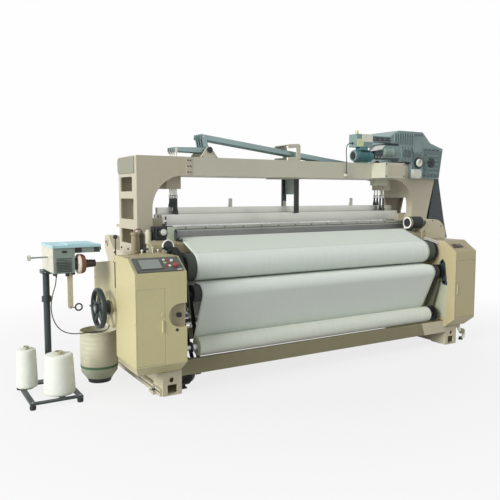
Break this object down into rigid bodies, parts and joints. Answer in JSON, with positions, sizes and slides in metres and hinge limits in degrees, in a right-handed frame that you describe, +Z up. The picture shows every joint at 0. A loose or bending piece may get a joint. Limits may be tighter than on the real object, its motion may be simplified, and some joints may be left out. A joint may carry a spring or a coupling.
{
  "type": "power loom",
  "caption": "Wide weaving loom with a dobby on its gantry, heald frames, cloth take-up, warp beam, cabinets, a weft feeder stand and a water vessel.",
  "frame": {"origin": "on the floor, in the middle of the four anchor bolt holes", "axes": "+X along the machine to the weaver's right, +Y from the cloth side to the warp side, +Z up"},
  "size_m": [4.6549, 1.7139, 2.222],
  "materials": {
    "cabinet_paint": "satin olive-beige paint",
    "gantry_paint": "satin grey-beige paint",
    "frame_paint": "satin beige paint on casting",
    "beam_paint": "dark olive paint",
    "dark_paint": "charcoal paint",
    "dobby_paint": "grey-green paint",
    "roller_steel": "turned steel",
    "link_steel": "brushed steel with a green cast",
    "heald_alloy": "matt aluminium",
    "sley_alloy": "matt aluminium",
    "rubber": "black rubber",
    "cloth": "plain woven pale cloth",
    "warp": "parallel warp yarns",
    "yarn": "wound yarn",
    "panel": "dark bezel with a grey screen",
    "green_button": "pale button",
    "red_button": "red mushroom button",
    "pale_plastic": "pale knob",
    "cable": "dark cable sheath",
    "feeder_paint": "pale green-grey paint",
    "copper": "brown metal drum",
    "vessel": "beige tub with a green band"
  },
  "bodies": {
    "frame": {"side_frame_left": "frame_paint", "side_frame_right": "frame_paint", "front_crossbeam": "beam_paint", "rear_crossbeam": "beam_paint", "gantry_post_left": "gantry_paint", "gantry_post_right": "gantry_paint", "gantry_beam": "gantry_paint", "left_cabinet": "cabinet_paint", "right_cabinet": "cabinet_paint", "gear_case": "cabinet_paint", "control_panel": "panel", "cloth_web": "cloth", "warp_sheet": "warp", "breast_beam": "dark_paint", "nozzle_pump": "frame_paint", "motor": "dark_paint", "drive_belt": "rubber", "dobby_body": "dobby_paint", "chain_guard": "dark_paint", "dobby_cable": "cable", "feeder_stand": "dark_paint", "feeder_box": "feeder_paint", "yarn_eyelet": "dark_paint", "yarn_cones": "yarn", "feeder_cable": "cable", "water_vessel": "vessel"},
    "warp_beam": {"warp_beam": "warp"},
    "back_rest": {"back_rest_roller": "roller_steel"},
    "friction": {"friction_roller": "roller_steel"},
    "press": {"press_roller": "roller_steel"},
    "guide": {"guide_roller": "rubber"},
    "cloth_roll": {"cloth_roll": "cloth"},
    "main_shaft": {"main_shaft": "roller_steel", "handwheel": "dark_paint"},
    "motor_pulley": {"motor_pulley": "roller_steel"},
    "sley": {"sley": "sley_alloy", "reed": "sley_alloy"},
    "left_door": {"left_cabinet_door": "cabinet_paint"},
    "right_door": {"right_cabinet_door": "cabinet_paint"},
    "run_button": {"run_button": "green_button"},
    "emergency_button": {"emergency_button": "red_button"},
    "hand_lever": {"hand_lever": "dark_paint"},
    "dobby_knob": {"dobby_knob": "pale_plastic"},
    "feeder_drum": {"feeder_drum": "copper"},
    "heald_1": {"heald_frame_1": "heald_alloy"},
    "crank_left_1": {"crank_left_1": "link_steel"},
    "crank_right_1": {"crank_right_1": "link_steel"},
    "link_bar_1": {"link_bar_1": "link_steel"},
    "heald_2": {"heald_frame_2": "heald_alloy"},
    "crank_left_2": {"crank_left_2": "link_steel"},
    "crank_right_2": {"crank_right_2": "link_steel"},
    "link_bar_2": {"link_bar_2": "link_steel"},
    "heald_3": {"heald_frame_3": "heald_alloy"},
    "crank_left_3": {"crank_left_3": "link_steel"},
    "crank_right_3": {"crank_right_3": "link_steel"},
    "link_bar_3": {"link_bar_3": "link_steel"},
    "heald_4": {"heald_frame_4": "heald_alloy"},
    "crank_left_4": {"crank_left_4": "link_steel"},
    "crank_right_4": {"crank_right_4": "link_steel"},
    "link_bar_4": {"link_bar_4": "link_steel"}
  },
  "joints": [
    {"name": "warp_beam_turn", "type": "hinge", "parent": "frame", "child": "warp_beam", "pos_m": [0, 0.45, 0.6], "axis": [1, 0, 0], "continuous": true},
    {"name": "back_rest_turn", "type": "hinge", "parent": "frame", "child": "back_rest", "pos_m": [0, 0.67, 1.1], "axis": [1, 0, 0], "continuous": true},
    {"name": "friction_turn", "type": "hinge", "parent": "frame", "child": "friction", "pos_m": [0, -0.585, 0.975], "axis": [1, 0, 0], "continuous": true},
    {"name": "press_turn", "type": "hinge", "parent": "frame", "child": "press", "pos_m": [0, -0.45111, 0.8977], "axis": [1, 0, 0], "continuous": true},
    {"name": "guide_turn", "type": "hinge", "parent": "frame", "child": "guide", "pos_m": [0, -0.71, 0.775], "axis": [1, 0, 0], "continuous": true},
    {"name": "cloth_roll_turn", "type": "hinge", "parent": "frame", "child": "cloth_roll", "pos_m": [0, -0.67, 0.335], "axis": [1, 0, 0], "continuous": true},
    {"name": "main_shaft_turn", "type": "hinge", "parent": "frame", "child": "main_shaft", "pos_m": [0, -0.334, 0.66], "axis": [1, 0, 0], "continuous": true},
    {"name": "motor_turn", "type": "hinge", "parent": "frame", "child": "motor_pulley", "pos_m": [-1.27, -0.57, 0.125], "axis": [1, 0, 0], "continuous": true},
    {"name": "sley_rock", "type": "hinge", "parent": "frame", "child": "sley", "pos_m": [0, -0.25, 0.45], "axis": [-1, 0, 0], "range_deg": [0, 6]},
    {"name": "left_door_hinge", "type": "hinge", "parent": "frame", "child": "left_door", "pos_m": [-1.9, -0.895, 0.5865], "axis": [0, 0, -1], "range_deg": [0, 100]},
    {"name": "right_door_hinge", "type": "hinge", "parent": "frame", "child": "right_door", "pos_m": [1.733, -0.895, 0.6025], "axis": [0, 0, 1], "range_deg": [0, 100]},
    {"name": "lever_turn", "type": "hinge", "parent": "frame", "child": "hand_lever", "pos_m": [-1.893, -0.42, 1.062], "axis": [1, 0, 0], "range_deg": [-25, 25]},
    {"name": "knob_turn", "type": "hinge", "parent": "frame", "child": "dobby_knob", "pos_m": [1.51, -0.29, 1.893], "axis": [0, 1, 0], "range_deg": [-135, 135]},
    {"name": "feeder_turn", "type": "hinge", "parent": "frame", "child": "feeder_drum", "pos_m": [-2.15, -0.31, 1.018], "axis": [1, 0, 0], "continuous": true},
    {"name": "run_press", "type": "slide", "parent": "frame", "child": "run_button", "axis": [0, 0.5635, -0.8261], "range_m": [0, 0.003], "stiffness_N_per_m": 300, "springref_m": -0.004},
    {"name": "stop_press", "type": "slide", "parent": "frame", "child": "emergency_button", "axis": [0, 0.5635, -0.8261], "range_m": [0, 0.004], "stiffness_N_per_m": 500, "springref_m": -0.004},
    {"name": "heald_lift_1", "type": "slide", "parent": "frame", "child": "heald_1", "axis": [0, 0, 1], "range_m": [-0.036, 0.036]},
    {"name": "crank_left_1_turn", "type": "hinge", "parent": "frame", "child": "crank_left_1", "pos_m": [-0.94, -0.115, 1.947], "axis": [0, 1, 0], "range_deg": [-7.2, 7.2]},
    {"name": "crank_right_1_turn", "type": "hinge", "parent": "frame", "child": "crank_right_1", "pos_m": [1.0325, -0.115, 1.88149], "axis": [0, 1, 0], "range_deg": [-14.4, 14.4]},
    {"name": "link_bar_1_slide", "type": "slide", "parent": "frame", "child": "link_bar_1", "axis": [0.9594, 0, 0.2822], "range_m": [-0.0153, 0.0153]},
    {"name": "heald_lift_2", "type": "slide", "parent": "frame", "child": "heald_2", "axis": [0, 0, 1], "range_m": [-0.036, 0.036]},
    {"name": "crank_left_2_turn", "type": "hinge", "parent": "frame", "child": "crank_left_2", "pos_m": [-0.94, -0.07, 1.947], "axis": [0, 1, 0], "range_deg": [-7.2, 7.2]},
    {"name": "crank_right_2_turn", "type": "hinge", "parent": "frame", "child": "crank_right_2", "pos_m": [1.0325, -0.07, 1.88149], "axis": [0, 1, 0], "range_deg": [-14.4, 14.4]},
    {"name": "link_bar_2_slide", "type": "slide", "parent": "frame", "child": "link_bar_2", "axis": [0.9594, 0, 0.2822], "range_m": [-0.0153, 0.0153]},
    {"name": "heald_lift_3", "type": "slide", "parent": "frame", "child": "heald_3", "axis": [0, 0, 1], "range_m": [-0.036, 0.036]},
    {"name": "crank_left_3_turn", "type": "hinge", "parent": "frame", "child": "crank_left_3", "pos_m": [-0.94, -0.025, 1.947], "axis": [0, 1, 0], "range_deg": [-7.2, 7.2]},
    {"name": "crank_right_3_turn", "type": "hinge", "parent": "frame", "child": "crank_right_3", "pos_m": [1.0325, -0.025, 1.88149], "axis": [0, 1, 0], "range_deg": [-14.4, 14.4]},
    {"name": "link_bar_3_slide", "type": "slide", "parent": "frame", "child": "link_bar_3", "axis": [0.9594, 0, 0.2822], "range_m": [-0.0153, 0.0153]},
    {"name": "heald_lift_4", "type": "slide", "parent": "frame", "child": "heald_4", "axis": [0, 0, 1], "range_m": [-0.036, 0.036]},
    {"name": "crank_left_4_turn", "type": "hinge", "parent": "frame", "child": "crank_left_4", "pos_m": [-0.94, 0.02, 1.947], "axis": [0, 1, 0], "range_deg": [-7.2, 7.2]},
    {"name": "crank_right_4_turn", "type": "hinge", "parent": "frame", "child": "crank_right_4", "pos_m": [1.0325, 0.02, 1.88149], "axis": [0, 1, 0], "range_deg": [-14.4, 14.4]},
    {"name": "link_bar_4_slide", "type": "slide", "parent": "frame", "child": "link_bar_4", "axis": [0.9594, 0, 0.2822], "range_m": [-0.0153, 0.0153]}
  ],
  "couplings": [
    {"joint": "back_rest_turn", "follows": "warp_beam_turn", "ratio": 4.4258},
    {"joint": "friction_turn", "follows": "warp_beam_turn", "ratio": 2.3945},
    {"joint": "press_turn", "follows": "warp_beam_turn", "ratio": -6.569},
    {"joint": "guide_turn", "follows": "warp_beam_turn", "ratio": 3.8051},
    {"joint": "cloth_roll_turn", "follows": "warp_beam_turn", "ratio": -3.5097},
    {"joint": "motor_turn", "follows": "main_shaft_turn", "ratio": 2.5528},
    {"joint": "crank_left_1_turn", "follows": "heald_lift_1", "rad_per_m": 3.3333},
    {"joint": "crank_right_1_turn", "follows": "heald_lift_1", "rad_per_m": -6.6667},
    {"joint": "link_bar_1_slide", "follows": "heald_lift_1", "ratio": 0.41347},
    {"joint": "crank_left_2_turn", "follows": "heald_lift_2", "rad_per_m": 3.3333},
    {"joint": "crank_right_2_turn", "follows": "heald_lift_2", "rad_per_m": -6.6667},
    {"joint": "link_bar_2_slide", "follows": "heald_lift_2", "ratio": 0.41347},
    {"joint": "crank_left_3_turn", "follows": "heald_lift_3", "rad_per_m": 3.3333},
    {"joint": "crank_right_3_turn", "follows": "heald_lift_3", "rad_per_m": -6.6667},
    {"joint": "link_bar_3_slide", "follows": "heald_lift_3", "ratio": 0.41347},
    {"joint": "crank_left_4_turn", "follows": "heald_lift_4", "rad_per_m": 3.3333},
    {"joint": "crank_right_4_turn", "follows": "heald_lift_4", "rad_per_m": -6.6667},
    {"joint": "link_bar_4_slide", "follows": "heald_lift_4", "ratio": 0.41347}
  ]
}
